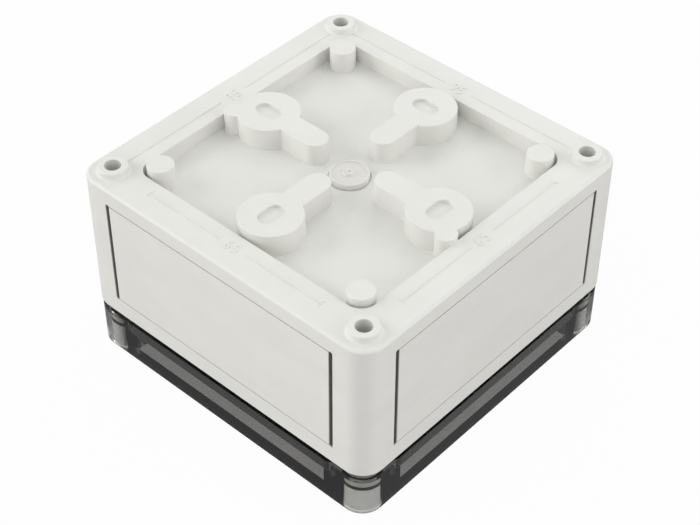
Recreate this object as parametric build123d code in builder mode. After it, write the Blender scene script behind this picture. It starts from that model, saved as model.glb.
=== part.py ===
"""Square wall-mounting enclosure: a grey base with its back up, standing on its clear lid.

The origin is the centre of the lid's outer face. +Z points out of the base's back, and the
front corner, the one nearest to the viewer, is at +X -Y.
"""

import os

from build123d import *

# Overall case
case_width = 110.0
case_height = 66.0
lid_height = 16.5
rim_drop = 2.0
corner_radius = 7.0
base_draft = 0.15
rim_edge_radius = 1.0

# Lid shell
lid_inset = 0.25
lid_edge_radius = 0.3
lid_face_thickness = 3.1
shadow_gap_height = 2.1
screw_seat_radius = 5.0

# Base shell
wall_thickness = 3.4
back_thickness = 3.2
pillar_radius = 8.3
cavity_corner_radius = 1.2

# Rib of the base in the seal groove of the lid, and the seal with a lip outside the rib
rib_width = 0.8
rib_height = 4.0
rib_clearance = 0.3
groove_inner_wall = 1.2
seal_thickness = 2.4
seal_clearance = 0.05
seal_lip_width = 0.9
seal_lip_clearance = 0.15

# Holes and collars for wall screws at the corners
wall_hole_inset = 7.5
wall_hole_radius = 2.45
wall_hole_depth = 10.0
collar_base_radius = 4.75
collar_top_radius = 4.35
collar_edge_radius = 0.35
collar_foot_radius = 0.6

# Sunk field in the back, with a post at each corner
rim_width = 11.95
field_depth = 5.2
field_corner_radius = 5.0
field_wall_thickness = 3.0
post_gap = 1.0

# Keyhole pads round blind slots
slot_inset = 22.5
slot_length = 8.8
slot_width = 5.3
slot_depth = 1.0
pad_radius = 9.4
pad_arm_width = 7.9
pad_arm_tip = 10.0
pad_edge_radius = 0.3
pad_hollow_radius = 6.4
pad_skin = 3.0
lug_radius = 3.2
lug_reach = 7.8
lug_shift = 6.3

# Gate disc, a little off the middle of the field
gate_shift = -0.6
gate_radius = 5.8
gate_height = 1.3
gate_lip_width = 0.45
gate_lip_height = 0.3
gate_nub_radius = 1.8
gate_nub_height = 0.8
gate_nub_taper = 25.0
gate_pip_radius = 0.4
gate_pip_depth = 0.25
gate_moat_width = 0.6
gate_moat_depth = 0.6

# Flat panel framed by grooves on each side
panel_side_margin = 12.35
panel_bottom_margin = 5.65
panel_top_margin = 5.25
panel_groove_width = 1.4
panel_groove_depth = 1.6
witness_width = 0.35
witness_depth = 0.45

# Spacing marks moulded on the rim
mark_height = 0.2
mark_width = 0.25
mark_tick = 2.4
mark_gap = 9.8
digit_height = 3.8
digit_width = 2.0
digit_spacing = 2.7
digit_stroke = 0.5

# Bends and ends of the digits' strokes, as shares of half a digit's width or height
six_bend_x = 0.55
six_bend_y = 0.5
six_tip_x = 0.6
five_stem_x = 0.85
five_knee_y = 0.1
five_belly_y = 0.4
five_tip_y = 0.85

# Inner bosses behind the corner posts
boss_radius = 3.75
boss_height = 6.0
boss_pilot_radius = 1.45
boss_pilot_skin = 4.0

# Lid screws: a head, a groove with a seal ring, a flange that seats in the bore, then the neck
head_mouth_radius = 5.3
head_top_radius = 5.2
head_sink = 0.1
head_edge_radius = 0.25
head_shoulder_radius = 0.8
head_bore_clearance = 0.4
neck_web_thickness = 4.5
ring_section = 1.2
ring_core_radius = 4.25
ring_clearance = 0.05
flange_radius = 5.2
flange_thickness = 2.2
flange_clearance = 0.1
flange_edge_radius = 0.15
neck_radius = 3.4
neck_clearance = 0.05
thread_radius = 3.9
thread_root_radius = 3.3
thread_pitch = 2.0
thread_crest = 0.4
thread_turns = 6
thread_clearance = 0.15
thread_lead_in = 0.35
tip_length = 1.5
tip_radius = 2.4
driver_slot_width = 1.6
driver_slot_depth = 3.0
driver_cross_length = 6.2
driver_slot_angle = 35.0

# Reach of the search for an edge at a given level
level_tolerance = 0.01

# Levels and places that follow from the sizes above
half_width = case_width / 2
lid_width = case_width - 2 * lid_inset
rim_level = case_height - rim_drop
field_level = rim_level - field_depth
back_ceiling = field_level - back_thickness
rim_ceiling = rim_level - back_thickness
cavity_half = half_width - wall_thickness
field_half_width = half_width - rim_width
screw_offset = half_width - wall_hole_inset
slot_offset = half_width - slot_inset
panel_width = case_width - 2 * panel_side_margin
panel_bottom = lid_height + panel_bottom_margin
panel_top = rim_level - panel_top_margin
post_offset = field_half_width - field_corner_radius
post_radius = field_corner_radius - post_gap
rib_tip = lid_height - rib_height
groove_floor = rib_tip - seal_thickness
seal_lip_inside = rib_width + seal_lip_clearance
seal_outside = seal_lip_inside + seal_lip_width
head_bore_depth = lid_height - neck_web_thickness
flange_top = head_bore_depth - flange_clearance
flange_bottom = flange_top - flange_thickness
head_top = flange_bottom - ring_section - 2 * ring_clearance
channel_radius = thread_radius + thread_clearance
channel_end = rim_level - wall_hole_depth
thread_start = lid_height + thread_lead_in
thread_end = thread_start + thread_turns * thread_pitch

corners = {"front": (1, -1), "right": (1, 1), "back": (-1, 1), "left": (-1, -1)}
screw_places = [(sx * screw_offset, sy * screw_offset) for sx, sy in corners.values()]


def room_outline(growth=0.0):
    """Outline of the room inside the walls and round the four screw pillars, grown all round."""
    with BuildSketch() as room:
        Rectangle(2 * cavity_half, 2 * cavity_half)
        with Locations(*screw_places):
            Circle(pillar_radius, mode=Mode.SUBTRACT)
        fillet(room.vertices(), cavity_corner_radius)
        if growth:
            offset(amount=growth)
    return room.sketch


def looped_digit(x, turn):
    """A six, or with turn -1 a nine: a round bowl and a curved stem."""
    bowl_radius = (digit_width - digit_stroke) / 2
    stem_end = (digit_height - digit_stroke) / 2
    bowl_y = bowl_radius - stem_end
    with Locations((x, turn * bowl_y)):
        Circle(bowl_radius + digit_stroke / 2)
        Circle(bowl_radius - digit_stroke / 2, mode=Mode.SUBTRACT)
    with BuildLine() as stem:
        ThreePointArc(
            (x - turn * bowl_radius, turn * bowl_y),
            (x - turn * six_bend_x * bowl_radius, turn * six_bend_y * stem_end),
            (x + turn * six_tip_x * bowl_radius, turn * stem_end),
        )
    trace(stem.line, line_width=digit_stroke)


def five(x):
    """A five: a top bar, a short stem and an open bowl."""
    reach = (digit_width - digit_stroke) / 2
    top = (digit_height - digit_stroke) / 2
    stem_x = x - five_stem_x * reach
    knee = (stem_x, five_knee_y * top)
    with BuildLine() as stroke:
        Polyline((x + reach, top), (stem_x, top), knee)
        ThreePointArc(knee, (x + reach, -five_belly_y * top), (x - reach, -five_tip_y * top))
    trace(stroke.line, line_width=digit_stroke)


def rim_mark(turn, line_end, tick):
    """A dimension line on the rim, with 65, or with turn -1 95, in its gap at the sketch's origin."""
    looped_digit(-digit_spacing / 2, turn)
    five(digit_spacing / 2)
    line_length = line_end - mark_gap / 2
    for side in (-1, 1):
        with Locations((side * (line_end + mark_gap / 2) / 2, 0)):
            Rectangle(line_length, mark_width)
        if tick:
            with Locations((side * line_end, 0)):
                Rectangle(mark_width, mark_tick)


def rim_at(turned, level):
    """Widest circular edge of a turned piece at one level."""
    rims = turned.edges().filter_by(GeomType.CIRCLE)
    rims = rims.filter_by_position(Axis.Z, level - level_tolerance, level + level_tolerance)
    return rims.sort_by(SortBy.RADIUS)[-1]


def side_plane(angle):
    """Plane on one side of the case: its X runs along the side, its Y is up and its Z is outward."""
    outward = Vector(1, 0, 0).rotate(Axis.Z, angle)
    along = Vector(0, 1, 0).rotate(Axis.Z, angle)
    return Plane(origin=outward * half_width, x_dir=along, z_dir=outward)


os.makedirs("parts", exist_ok=True)

# Base shell: the outer block first, with its rim rounded
with BuildPart() as base:
    with BuildSketch(Plane.XY.offset(lid_height)):
        RectangleRounded(case_width, case_width, corner_radius)
    extrude(amount=rim_level - lid_height, taper=base_draft)
    fillet(base.edges().group_by(Axis.Z)[-1], rim_edge_radius)

    # Sunk field in the back
    with BuildSketch(Plane.XY.offset(rim_level)):
        RectangleRounded(2 * field_half_width, 2 * field_half_width, field_corner_radius)
    extrude(amount=-field_depth, mode=Mode.SUBTRACT)

    # Keyhole pads, side lugs and corner posts, all as high as the collars
    with BuildSketch(Plane.XY.offset(field_level)):
        with PolarLocations(slot_offset, 4):
            Circle(pad_radius)
        with PolarLocations((slot_offset + pad_arm_tip) / 2, 4):
            SlotOverall(slot_offset - pad_arm_tip, pad_arm_width)
        with Locations((slot_offset + lug_reach, -lug_shift), (-slot_offset - lug_reach, -lug_shift)):
            Circle(lug_radius)
        with GridLocations(2 * post_offset, 2 * post_offset, 2, 2):
            Circle(post_radius)
    extrude(amount=case_height - field_level)
    fillet(base.edges().group_by(Axis.Z)[-1], pad_edge_radius)

    # Blind slots in the pads: across on two of them, along on the other two
    with BuildSketch(Plane.XY.offset(case_height)):
        with Locations((slot_offset, 0), (0, -slot_offset)):
            SlotOverall(slot_length, slot_width, rotation=90)
        with Locations((-slot_offset, 0), (0, slot_offset)):
            SlotOverall(slot_length, slot_width)
    extrude(amount=-slot_depth, mode=Mode.SUBTRACT)

    # Collars round the wall-screw holes, blended into the rim at their feet
    for x, y in screw_places:
        with Locations((x, y, rim_level)):
            Cone(
                collar_base_radius,
                collar_top_radius,
                rim_drop,
                align=(Align.CENTER, Align.CENTER, Align.MIN),
            )
        collar_rings = base.edges().filter_by(GeomType.CIRCLE).filter_by(
            lambda ring: (ring.arc_center - Vector(x, y, ring.arc_center.Z)).length < level_tolerance
        )
        fillet(collar_rings.sort_by(SortBy.RADIUS)[0], collar_edge_radius)
        fillet(collar_rings.sort_by(SortBy.RADIUS)[-1], collar_foot_radius)

    # Gate disc with a raised lip and a nub, in a shallow moat
    gate_plane = Plane((gate_shift, 0, field_level))
    with BuildSketch(gate_plane):
        Circle(gate_radius + gate_moat_width)
        Circle(gate_radius, mode=Mode.SUBTRACT)
    extrude(amount=-gate_moat_depth, mode=Mode.SUBTRACT)
    with BuildSketch(gate_plane):
        Circle(gate_radius)
    extrude(amount=gate_height)
    with BuildSketch(gate_plane.offset(gate_height)):
        Circle(gate_radius)
        Circle(gate_radius - gate_lip_width, mode=Mode.SUBTRACT)
    extrude(amount=gate_lip_height)
    with BuildSketch(gate_plane.offset(gate_height)):
        Circle(gate_nub_radius)
    extrude(amount=gate_nub_height, taper=gate_nub_taper)
    with BuildSketch(gate_plane.offset(gate_height + gate_nub_height)):
        Circle(gate_pip_radius)
    extrude(amount=-gate_pip_depth, mode=Mode.SUBTRACT)

    # Grooves and thin witness lines that frame a flat panel on each side
    for angle in (0, 90, 180, 270):
        with BuildSketch(side_plane(angle)):
            with Locations(
                (-panel_width / 2, (panel_bottom + panel_top) / 2),
                (panel_width / 2, (panel_bottom + panel_top) / 2),
            ):
                SlotOverall(panel_top - panel_bottom, panel_groove_width, rotation=90)
        extrude(amount=-panel_groove_depth, mode=Mode.SUBTRACT)
        with BuildSketch(side_plane(angle)):
            with Locations((0, panel_bottom + witness_width), (0, panel_top - witness_width)):
                Rectangle(panel_width, witness_width)
        extrude(amount=-witness_depth, mode=Mode.SUBTRACT)

    # Spacing marks on the rim: slot spacing on two sides, hole spacing on the other two
    collar_edge = screw_offset - collar_base_radius - mark_width
    marks = [
        ((0, -screw_offset), (1, 0), 1, slot_offset, True),
        ((screw_offset, 0), (0, 1), 1, slot_offset, True),
        ((0, screw_offset), (1, 0), -1, collar_edge, False),
        ((-screw_offset, 0), (0, 1), -1, collar_edge, False),
    ]
    for (x, y), along, turn, line_end, tick in marks:
        with BuildSketch(Plane(origin=(x, y, rim_level), x_dir=(*along, 0), z_dir=(0, 0, 1))):
            rim_mark(turn, line_end, tick)
        extrude(amount=mark_height)

    # Room inside, with a deeper channel behind the rim
    with BuildSketch(Plane.XY.offset(lid_height)):
        add(room_outline())
    extrude(amount=back_ceiling - lid_height, mode=Mode.SUBTRACT)
    with BuildSketch(Plane.XY.offset(back_ceiling)):
        add(room_outline())
        field_outside = 2 * (field_half_width + field_wall_thickness)
        RectangleRounded(
            field_outside,
            field_outside,
            field_corner_radius + field_wall_thickness,
            mode=Mode.SUBTRACT,
        )
    extrude(amount=rim_ceiling - back_ceiling, mode=Mode.SUBTRACT)

    # Hollows behind the pads, then bosses with pilot holes behind the posts
    with BuildSketch(Plane.XY.offset(back_ceiling)):
        with PolarLocations(slot_offset, 4):
            Circle(pad_hollow_radius)
    extrude(amount=case_height - pad_skin - back_ceiling, mode=Mode.SUBTRACT)
    with BuildSketch(Plane.XY.offset(back_ceiling - boss_height)):
        with GridLocations(2 * post_offset, 2 * post_offset, 2, 2):
            Circle(boss_radius)
    extrude(amount=boss_height)
    with BuildSketch(Plane.XY.offset(back_ceiling - boss_height)):
        with GridLocations(2 * post_offset, 2 * post_offset, 2, 2):
            Circle(boss_pilot_radius)
    pilot_depth = case_height - boss_pilot_skin - back_ceiling + boss_height
    extrude(amount=pilot_depth, mode=Mode.SUBTRACT)

    # Rib that presses on the seal
    with BuildSketch(Plane.XY.offset(lid_height)):
        add(room_outline(rib_width))
        add(room_outline(), mode=Mode.SUBTRACT)
    extrude(amount=-rib_height)

    # Screw channels from the lid, meeting the wall-screw holes from the back
    with BuildSketch(Plane.XY.offset(lid_height)):
        with Locations(*screw_places):
            Circle(channel_radius)
    extrude(amount=channel_end - lid_height, mode=Mode.SUBTRACT)
    with BuildSketch(Plane.XY.offset(case_height)):
        with Locations(*screw_places):
            Circle(wall_hole_radius)
    extrude(amount=channel_end - case_height, mode=Mode.SUBTRACT)

base.part.label = "base_shell"
export_step(base.part, "parts/base_shell.step")

# Lid: a clear shell with a bore for a screw head at each corner
with BuildPart() as lid:
    with BuildSketch():
        RectangleRounded(lid_width, lid_width, corner_radius - lid_inset)
    extrude(amount=lid_height)
    fillet(lid.edges().group_by(Axis.Z)[0], lid_edge_radius)

    # Shadow gap under the base's edge, with a seat for the base round each screw
    with BuildSketch(Plane.XY.offset(lid_height)):
        RectangleRounded(lid_width, lid_width, corner_radius - lid_inset)
        add(room_outline(seal_outside), mode=Mode.SUBTRACT)
        with Locations(*screw_places):
            Circle(screw_seat_radius, mode=Mode.SUBTRACT)
    extrude(amount=-shadow_gap_height, mode=Mode.SUBTRACT)

    # Room inside the lid, and the seal groove round it
    with BuildSketch(Plane.XY.offset(lid_face_thickness)):
        add(room_outline(-rib_clearance - groove_inner_wall))
    extrude(amount=lid_height - lid_face_thickness, mode=Mode.SUBTRACT)
    with BuildSketch(Plane.XY.offset(groove_floor)):
        add(room_outline(seal_outside + seal_clearance))
        add(room_outline(-rib_clearance), mode=Mode.SUBTRACT)
    extrude(amount=lid_height - groove_floor, mode=Mode.SUBTRACT)

    # Bores for the screw heads, and the holes for their necks
    for x, y in screw_places:
        with Locations((x, y, 0)):
            Cone(
                head_mouth_radius + head_bore_clearance,
                head_top_radius + head_bore_clearance,
                head_bore_depth,
                align=(Align.CENTER, Align.CENTER, Align.MIN),
                mode=Mode.SUBTRACT,
            )
            Cylinder(
                neck_radius + neck_clearance,
                lid_height,
                align=(Align.CENTER, Align.CENTER, Align.MIN),
                mode=Mode.SUBTRACT,
            )

lid.part.label = "lid"
export_step(lid.part, "parts/lid.step")

# Seal: it fills the bottom of the groove up to the base's rib, and its lip reaches the base's edge
with BuildPart() as seal:
    with BuildSketch(Plane.XY.offset(groove_floor)):
        add(room_outline(seal_outside))
        add(room_outline(seal_clearance - rib_clearance), mode=Mode.SUBTRACT)
    extrude(amount=seal_thickness)
    with BuildSketch(Plane.XY.offset(rib_tip)):
        add(room_outline(seal_outside))
        add(room_outline(seal_lip_inside), mode=Mode.SUBTRACT)
    extrude(amount=lid_height - rib_tip)

seal.part.label = "lid_seal"
export_step(seal.part, "parts/lid_seal.step")

# One captive screw and one seal ring for each corner of the lid
for corner, (x, y) in zip(corners, screw_places):
    screw_plane = Plane(origin=(x, y, 0), x_dir=(1, 0, 0), z_dir=(0, -1, 0))
    screw_axis = Axis((x, y, 0), (0, 0, 1))
    thread_profile = []
    for turn in range(thread_turns):
        ridge = thread_start + turn * thread_pitch
        thread_profile.append((thread_root_radius, ridge))
        thread_profile.append((thread_radius, ridge + (thread_pitch - thread_crest) / 2))
        thread_profile.append((thread_radius, ridge + (thread_pitch + thread_crest) / 2))

    with BuildPart() as screw:
        with BuildSketch(screw_plane):
            with BuildLine():
                Polyline(
                    (0, head_sink),
                    (head_mouth_radius, head_sink),
                    (head_top_radius, head_top),
                    (ring_core_radius, head_top),
                    (ring_core_radius, flange_bottom),
                    (flange_radius, flange_bottom),
                    (flange_radius, flange_top),
                    (neck_radius, flange_top),
                    (neck_radius, thread_start),
                    *thread_profile,
                    (thread_root_radius, thread_end),
                    (tip_radius, thread_end + tip_length),
                    (0, thread_end + tip_length),
                    close=True,
                )
            make_face()
        revolve(axis=screw_axis)
        fillet(rim_at(screw, head_sink), head_edge_radius)
        fillet(rim_at(screw, head_top), head_shoulder_radius)
        fillet(rim_at(screw, flange_bottom), flange_edge_radius)
        fillet(rim_at(screw, flange_top), flange_edge_radius)
        with BuildSketch(Plane.XY.offset(head_sink)):
            with Locations((x, y)):
                Rectangle(3 * head_mouth_radius, driver_slot_width, rotation=driver_slot_angle)
                Rectangle(driver_slot_width, driver_cross_length, rotation=driver_slot_angle)
        extrude(amount=driver_slot_depth, mode=Mode.SUBTRACT)
    screw.part.label = f"lid_screw_{corner}"
    export_step(screw.part, f"parts/lid_screw_{corner}.step")

    with BuildPart() as ring:
        with Locations((x, y, (head_top + flange_bottom) / 2)):
            Torus(ring_core_radius + ring_clearance + ring_section / 2, ring_section / 2)
    ring.part.label = f"screw_ring_{corner}"
    export_step(ring.part, f"parts/screw_ring_{corner}.step")
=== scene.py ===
import math

import bpy
import numpy as np
from mathutils import Matrix, Vector


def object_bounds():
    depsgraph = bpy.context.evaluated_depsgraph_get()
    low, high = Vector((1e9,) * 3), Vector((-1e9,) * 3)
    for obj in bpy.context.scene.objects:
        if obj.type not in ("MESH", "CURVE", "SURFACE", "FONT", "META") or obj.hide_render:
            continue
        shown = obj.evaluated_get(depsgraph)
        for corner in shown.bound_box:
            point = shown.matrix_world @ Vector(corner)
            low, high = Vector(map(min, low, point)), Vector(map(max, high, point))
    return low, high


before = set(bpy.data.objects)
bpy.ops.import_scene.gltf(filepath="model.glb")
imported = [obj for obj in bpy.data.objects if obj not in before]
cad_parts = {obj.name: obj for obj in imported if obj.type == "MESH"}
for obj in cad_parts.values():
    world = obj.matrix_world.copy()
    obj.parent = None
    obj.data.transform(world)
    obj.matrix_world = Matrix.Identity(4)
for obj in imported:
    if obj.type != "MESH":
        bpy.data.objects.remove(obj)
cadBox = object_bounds()
mm = 0.001
print("frame loaded")


# One output socket of a material. An operator on it adds the Math node that does the sum.
class Wire:
    def __init__(self, tree, socket=None):
        self.tree = tree
        self.socket = socket

    # Adds any node: its settings come first, then the values or wires of its inputs
    def node(self, kind, settings=None, inputs=None, out=0):
        made = self.tree.nodes.new(kind)
        for name, value in (settings or {}).items():
            setattr(made, name, value)
        for name, value in (inputs or {}).items():
            if isinstance(value, Wire):
                self.tree.links.new(value.socket, made.inputs[name])
            else:
                made.inputs[name].default_value = value
        return Wire(self.tree, made.outputs[out] if out is not None else None)

    def maths(self, operation, *values):
        return self.node("ShaderNodeMath", {"operation": operation}, dict(enumerate(values)))

    def __add__(self, other):
        return self.maths("ADD", self, other)

    def __sub__(self, other):
        return self.maths("SUBTRACT", self, other)

    def __mul__(self, other):
        return self.maths("MULTIPLY", self, other)

    def __radd__(self, other):
        return self.maths("ADD", other, self)

    def __rsub__(self, other):
        return self.maths("SUBTRACT", other, self)

    def __rmul__(self, other):
        return self.maths("MULTIPLY", other, self)

    def positive(self):
        return self.maths("ABSOLUTE", self)

    # 0 at low and 1 at high, smooth between them, and the other way round where high is the lower
    def step(self, low, high):
        return self.node(
            "ShaderNodeMapRange",
            {"interpolation_type": "SMOOTHSTEP"},
            {"Value": self, "From Min": low, "From Max": high},
        )

    def spread(self, low, high):
        return self.node("ShaderNodeMapRange", {}, {"Value": self, "To Min": low, "To Max": high})

    def blend(self, first, second):
        return self.node(
            "ShaderNodeMix",
            {"data_type": "RGBA"},
            {0: self, 6: first, 7: second},
            out=2,
        )

    # One axis of a place
    def axis(self, name):
        return self.node("ShaderNodeSeparateXYZ", {}, {"Vector": self}, out=name)

    def moved(self, shift=(0, 0, 0), scale=(1, 1, 1)):
        return self.node(
            "ShaderNodeMapping",
            {"vector_type": "POINT"},
            {"Vector": self, "Location": shift, "Scale": scale},
        )

    # Noise whose grains are size metres wide, with any stretch along the axes
    def noise(self, size, detail=2.0, roughness=0.5, stretch=(1, 1, 1)):
        return self.node(
            "ShaderNodeTexNoise",
            {},
            {
                "Vector": self.moved(scale=stretch),
                "Scale": 1 / size,
                "Detail": detail,
                "Roughness": roughness,
            },
        )

    def cells(self, size):
        return self.node("ShaderNodeTexVoronoi", {}, {"Vector": self, "Scale": 1 / size}, out="Distance")

    def bump(self, height, strength):
        inputs = {"Height": height, "Distance": mm, "Strength": strength}
        return self.node("ShaderNodeBump", {}, inputs)


def linear(red, green, blue):
    # screen values from 0 to 255 as the light values that a shader takes
    share = np.array([red, green, blue]) / 255
    light = np.where(share <= 0.04045, share / 12.92, ((share + 0.055) / 1.055) ** 2.4)
    return (*[float(value) for value in light], 1)


def startMaterial(name):
    material = bpy.data.materials.new(name)
    material.use_nodes = True
    material.node_tree.nodes.clear()
    start = Wire(material.node_tree)
    return material, start, start.node("ShaderNodeTexCoord", out="Object")


def endMaterial(start, surface, volume=None):
    inputs = {"Surface": surface}
    if volume is not None:
        inputs["Volume"] = volume
    start.node("ShaderNodeOutputMaterial", {}, inputs, out=None)


def principled(start, inputs):
    return start.node("ShaderNodeBsdfPrincipled", {}, inputs)


def wear(node, material):
    node.data.materials.clear()
    node.data.materials.append(material)


# Light grey moulding: a fine eroded skin, faint flow marks and a few dark specks
greyMoulding = {
    "colour": linear(228, 228, 224),
    "shade": linear(225, 225, 221),
    "flow": 26 * mm,
    "flowStretch": (1, 1, 2.2),
    "grain": 0.35 * mm,
    "grainBump": 0.1,
    "roughness": (0.42, 0.50),
    "bend": 1.5,
    "speck": linear(150, 148, 142),
    "speckSpacing": 5.5 * mm,
    "speckRadius": 0.045,
    "speckStrength": 0.25,
}

# A slightly darker, rougher tone inside the lip of the gate disc
gateDisc = {
    "shade": linear(222, 220, 215),
    "offMiddle": 0.6 * mm,
    "radius": 5.3 * mm,
    "level": 58.3 * mm,
    "extraRoughness": 0.15,
    "blur": 0.2 * mm,
}

# Painted shade: a darker tone in the grooves round the side panels
paintedGrooveShade = {
    "colour": linear(128, 124, 117),
    "depth": (0.2 * mm, 0.45 * mm),
    "wall": 3 * mm,
    "halfLength": 44 * mm,
    "middle": 41 * mm,
    "halfHeight": 19 * mm,
    "blur": 0.2 * mm,
}


def gateMask(place):
    flat = place.moved((gateDisc["offMiddle"], 0, 0), (1, 1, 0))
    fromAxis = flat.node("ShaderNodeVectorMath", {"operation": "LENGTH"}, {0: flat}, out="Value")
    radius, level = gateDisc["radius"], gateDisc["level"]
    above = place.axis("Z").step(level, level + gateDisc["blur"])
    return fromAxis.step(radius, radius - 0.1 * mm - gateDisc["blur"]) * above


def paintedGrooveShadeMask(place):
    # skin that lies deeper than the outer face of its side, but not on the inside of the wall
    along, across = place.axis("X").positive(), place.axis("Y").positive()
    depth = cadBox[1][0] - place.maths("MAXIMUM", along, across)
    blur = paintedGrooveShade["blur"]
    mask = depth.step(*paintedGrooveShade["depth"]) * depth.step(paintedGrooveShade["wall"], paintedGrooveShade["wall"] - blur)
    fromMiddle = place.maths("MINIMUM", along, across)
    rise = (place.axis("Z") - paintedGrooveShade["middle"]).positive()
    for length, reach in ((fromMiddle, paintedGrooveShade["halfLength"]), (rise, paintedGrooveShade["halfHeight"])):
        mask = mask * length.step(reach, reach - blur)
    return mask


def greyPlastic():
    look = greyMoulding
    material, start, place = startMaterial("greyPlastic")
    flow = place.noise(look["flow"], 3, 0.55, look["flowStretch"])
    grain = place.noise(look["grain"], 2, 0.6)
    pores = place.cells(0.6 * look["grain"])
    specks = place.cells(look["speckSpacing"]).step(look["speckRadius"], 0.6 * look["speckRadius"])
    disc = gateMask(place)
    tone = flow.step(0.35, 0.7).blend(look["colour"], look["shade"])
    tone = (specks * look["speckStrength"]).blend(tone, look["speck"])
    tone = disc.blend(tone, gateDisc["shade"])
    # painted shade in the grooves round the side panels
    tone = paintedGrooveShadeMask(place).blend(tone, paintedGrooveShade["colour"])
    rough = (flow * 0.5 + grain * 0.5).spread(*look["roughness"]) + disc * gateDisc["extraRoughness"]
    skin = start.bump(grain * 0.6 + pores * 0.4, look["grainBump"])
    inputs = {"Base Color": tone, "Roughness": rough, "Normal": skin, "IOR": look["bend"]}
    endMaterial(start, principled(start, inputs))
    return material


# Smoke-clear polycarbonate: the tint is in its depth, so thick and edge-on parts go dark
smokeMoulding = {
    "tint": (0.40, 0.39, 0.375, 1),
    "density": 185.0,
    "bend": 1.585,
    "haze": 9 * mm,
    "hazeRoughness": 0.02,
    "scratch": 0.35 * mm,
    "scratchStretch": (1, 0.05, 1),
    "scratchRoughness": 0.012,
}


def smokePlastic():
    look = smokeMoulding
    material, start, place = startMaterial("smokePlastic")
    haze = place.noise(look["haze"], 3, 0.6)
    scratches = place.noise(look["scratch"], 2, 0.7, look["scratchStretch"])
    inputs = {
        "Base Color": (1, 1, 1, 1),
        "Roughness": haze * look["hazeRoughness"] + scratches * look["scratchRoughness"],
        "Transmission Weight": 1.0,
        "IOR": look["bend"],
    }
    inside = start.node(
        "ShaderNodeVolumeAbsorption",
        {},
        {"Color": look["tint"], "Density": look["density"]},
    )
    endMaterial(start, principled(start, inputs), inside)
    return material


# Plastic lid screws, paler than the base, with painted shade that makes them greyer from the flange up
screwMoulding = {
    "light": linear(243, 243, 239),
    "cloud": linear(238, 238, 233),
    "cloudSize": 3 * mm,
    "flange": linear(203, 203, 198),
    "flangeLevel": (8.2 * mm, 9.2 * mm),
    "roughness": (0.28, 0.42),
    "grain": 0.3 * mm,
    "grainBump": 0.04,
}


def screwPlastic():
    look = screwMoulding
    material, start, place = startMaterial("screwPlastic")
    cloud = place.noise(look["cloudSize"], 3, 0.6)
    tone = cloud.blend(look["cloud"], look["light"])
    # painted shade from the flange up
    tone = place.axis("Z").step(*look["flangeLevel"]).blend(tone, look["flange"])
    skin = start.bump(place.noise(look["grain"]), look["grainBump"])
    inputs = {"Base Color": tone, "Roughness": cloud.spread(*look["roughness"]), "Normal": skin}
    endMaterial(start, principled(start, inputs))
    return material


# The seal and the rings: black rubber with a little dust on it
rubberMoulding = {
    "black": (0.006, 0.006, 0.006, 1),
    "dusty": (0.016, 0.016, 0.015, 1),
    "dust": 0.8 * mm,
    "dustBump": 0.2,
    "roughness": (0.55, 0.8),
    "shine": 0.2,
}


def blackRubber():
    look = rubberMoulding
    material, start, place = startMaterial("blackRubber")
    dust = place.noise(look["dust"], 4, 0.7)
    inputs = {
        "Base Color": dust.blend(look["black"], look["dusty"]),
        "Roughness": dust.spread(*look["roughness"]),
        "Specular IOR Level": look["shine"],
        "Normal": start.bump(dust, look["dustBump"]),
    }
    endMaterial(start, principled(start, inputs))
    return material


rubber = blackRubber()
screwSkin = screwPlastic()
wear(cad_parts["base_shell"], greyPlastic())
wear(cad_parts["lid"], smokePlastic())
wear(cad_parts["lid_seal"], rubber)
for corner in ("front", "right", "back", "left"):
    wear(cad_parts["lid_screw_" + corner], screwSkin)
    wear(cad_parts["screw_ring_" + corner], rubber)
print("materials made")


# White sweep, soft lamps round it, and the camera of the photograph
studio = {
    "floorDrop": 0.05 * mm,
    "floorSize": 6.0,
    "floorWhite": 0.65,
    "seenWhite": 0.97,
    # painted shadow on the floor under the case
    "paintedShadowUnder": 0.50,
    "shadeEdge": (-1 * mm, 2 * mm),
    # painted shade on the floor where mirrors show it
    "mirroredShadeGrey": 0.3,
    "sky": (0.375, 0.357, 0.345, 1),
    "lookAt": (0, 0, 0.03),
    "lamps": {
        "above": {"place": (0.1, 0.2, 1.6), "size": 1.8, "power": 6.8, "tone": (0.90, 0.98, 1.0)},
        "left": {"place": (-1.2, -0.9, 0.7), "size": 1.2, "power": 14.2, "tone": (1, 1, 1)},
        "right": {"place": (1.3, 0.9, 0.6), "size": 1.2, "power": 11.9, "tone": (1, 1, 1)},
        "front": {"place": (0.5, -1.4, 0.6), "size": 1.2, "power": 6.6, "tone": (1, 1, 1)},
        "behind": {"place": (-0.6, 1.3, 0.9), "size": 1.2, "power": 5.0, "tone": (1, 1, 1)},
    },
}


def glow(start, strength):
    return start.node("ShaderNodeEmission", {}, {"Color": (1, 1, 1, 1), "Strength": strength})


def mix(start, factor, first, second):
    return start.node("ShaderNodeMixShader", {}, {0: factor, 1: first, 2: second})


def rayFact(start, name):
    return start.node("ShaderNodeLightPath", out=name)


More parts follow.
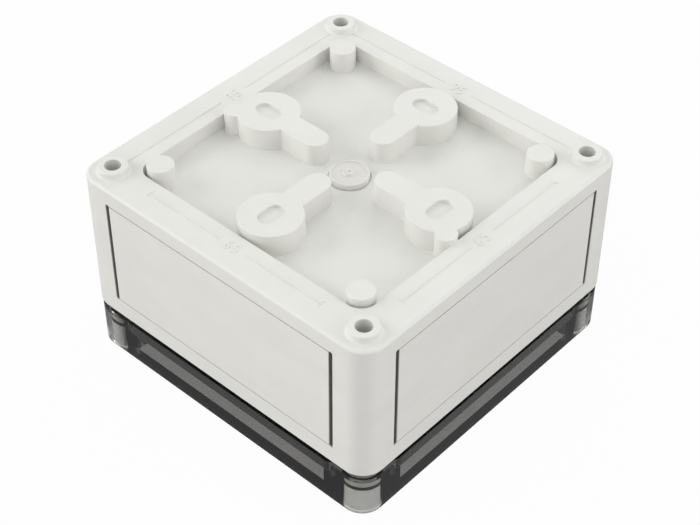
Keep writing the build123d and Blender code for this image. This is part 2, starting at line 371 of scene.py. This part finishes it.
def makeFloor():
    half = studio["floorSize"] / 2
    level = -studio["floorDrop"]
    sheet = bpy.data.meshes.new("floor")
    corners = [(-half, -half, level), (half, -half, level), (half, half, level), (-half, half, level)]
    sheet.from_pydata(corners, [], [(0, 1, 2, 3)])
    floor = bpy.data.objects.new("floor", sheet)
    bpy.context.scene.collection.objects.link(floor)
    material, start, place = startMaterial("sweep")
    white = studio["floorWhite"]
    lit = start.node("ShaderNodeBsdfDiffuse", {}, {"Color": (white, white, white, 1)})

    # white in the picture and behind clear walls, and seen through the lid under the case at a lower
    # brightness as a painted shadow, which is chosen so that the lid's bands match the photograph
    edge = cadBox[1][0]
    reach = start.maths("MAXIMUM", place.axis("X").positive(), place.axis("Y").positive())
    outside = reach.step(edge + studio["shadeEdge"][0], edge + studio["shadeEdge"][1])
    bounced = start.maths("MINIMUM", rayFact(start, "Diffuse Depth"), 1.0)
    mirrored = start.maths("MINIMUM", rayFact(start, "Glossy Depth"), 1.0)
    under = (1 - outside) * (1 - bounced) * studio["paintedShadowUnder"]
    through = rayFact(start, "Is Transmission Ray") * (1 - mirrored)
    seen = rayFact(start, "Is Camera Ray") + through * (outside + under)

    # a floor seen by a mirrored ray is a fixed grey glow, painted shade chosen the same way
    grey = mix(start, mirrored * outside, lit, glow(start, studio["mirroredShadeGrey"]))
    endMaterial(start, mix(start, seen * studio["seenWhite"], grey, glow(start, 1.0)))
    sheet.materials.append(material)


def makeSky():
    world = bpy.data.worlds.new("studio")
    bpy.context.scene.world = world
    world.use_nodes = True
    world.node_tree.nodes.clear()
    start = Wire(world.node_tree)
    seen = rayFact(start, "Is Camera Ray") + rayFact(start, "Is Transmission Ray")
    seen = start.maths("MINIMUM", seen + rayFact(start, "Is Glossy Ray"), 1.0)
    dim = start.node("ShaderNodeBackground", {}, {"Color": studio["sky"], "Strength": 1.0})
    white = start.node("ShaderNodeBackground", {}, {"Color": (1, 1, 1, 1), "Strength": 1.0})
    start.node("ShaderNodeOutputWorld", {}, {"Surface": mix(start, seen, dim, white)}, out=None)


def makeLamps():
    target = Vector(studio["lookAt"])
    for name, lamp in studio["lamps"].items():
        light = bpy.data.lights.new(name, "AREA")
        light.shape = "SQUARE"
        light.size = lamp["size"]
        light.energy = lamp["power"]
        light.color = lamp["tone"]
        held = bpy.data.objects.new(name, light)
        held.location = lamp["place"]
        held.rotation_euler = (target - held.location).to_track_quat("-Z", "Y").to_euler()
        bpy.context.scene.collection.objects.link(held)


viewpoint = {
    "place": (0.248775, -0.275166, 0.36848),
    "azimuth": 42.155,
    "elevation": 42.724,
    "roll": 0.166,
    "lens": 86.94,
    "sensor": 36.0,
    "nearest": 0.01,
    "farthest": 20,
}


def makeCamera():
    turn, rise, roll = (math.radians(viewpoint[angle]) for angle in ("azimuth", "elevation", "roll"))
    back = Vector((math.sin(turn) * math.cos(rise), -math.cos(turn) * math.cos(rise), math.sin(rise)))
    right = Vector((math.cos(turn), math.sin(turn), 0))
    up = back.cross(right)
    tiltedRight = right * math.cos(roll) + up * math.sin(roll)
    tiltedUp = up * math.cos(roll) - right * math.sin(roll)
    lens = bpy.data.cameras.new("camera")
    lens.sensor_fit = "HORIZONTAL"
    lens.sensor_width = viewpoint["sensor"]
    lens.lens = viewpoint["lens"]
    lens.clip_start = viewpoint["nearest"]
    lens.clip_end = viewpoint["farthest"]
    camera = bpy.data.objects.new("camera", lens)
    bpy.context.scene.collection.objects.link(camera)
    turned = Matrix((tiltedRight, tiltedUp, back)).transposed()
    camera.matrix_world = Matrix.Translation(viewpoint["place"]) @ turned.to_4x4()
    bpy.context.scene.camera = camera


makeFloor()
makeSky()
makeLamps()
makeCamera()
bpy.context.scene.view_settings.view_transform = "Standard"
print("studio made")

print("done")
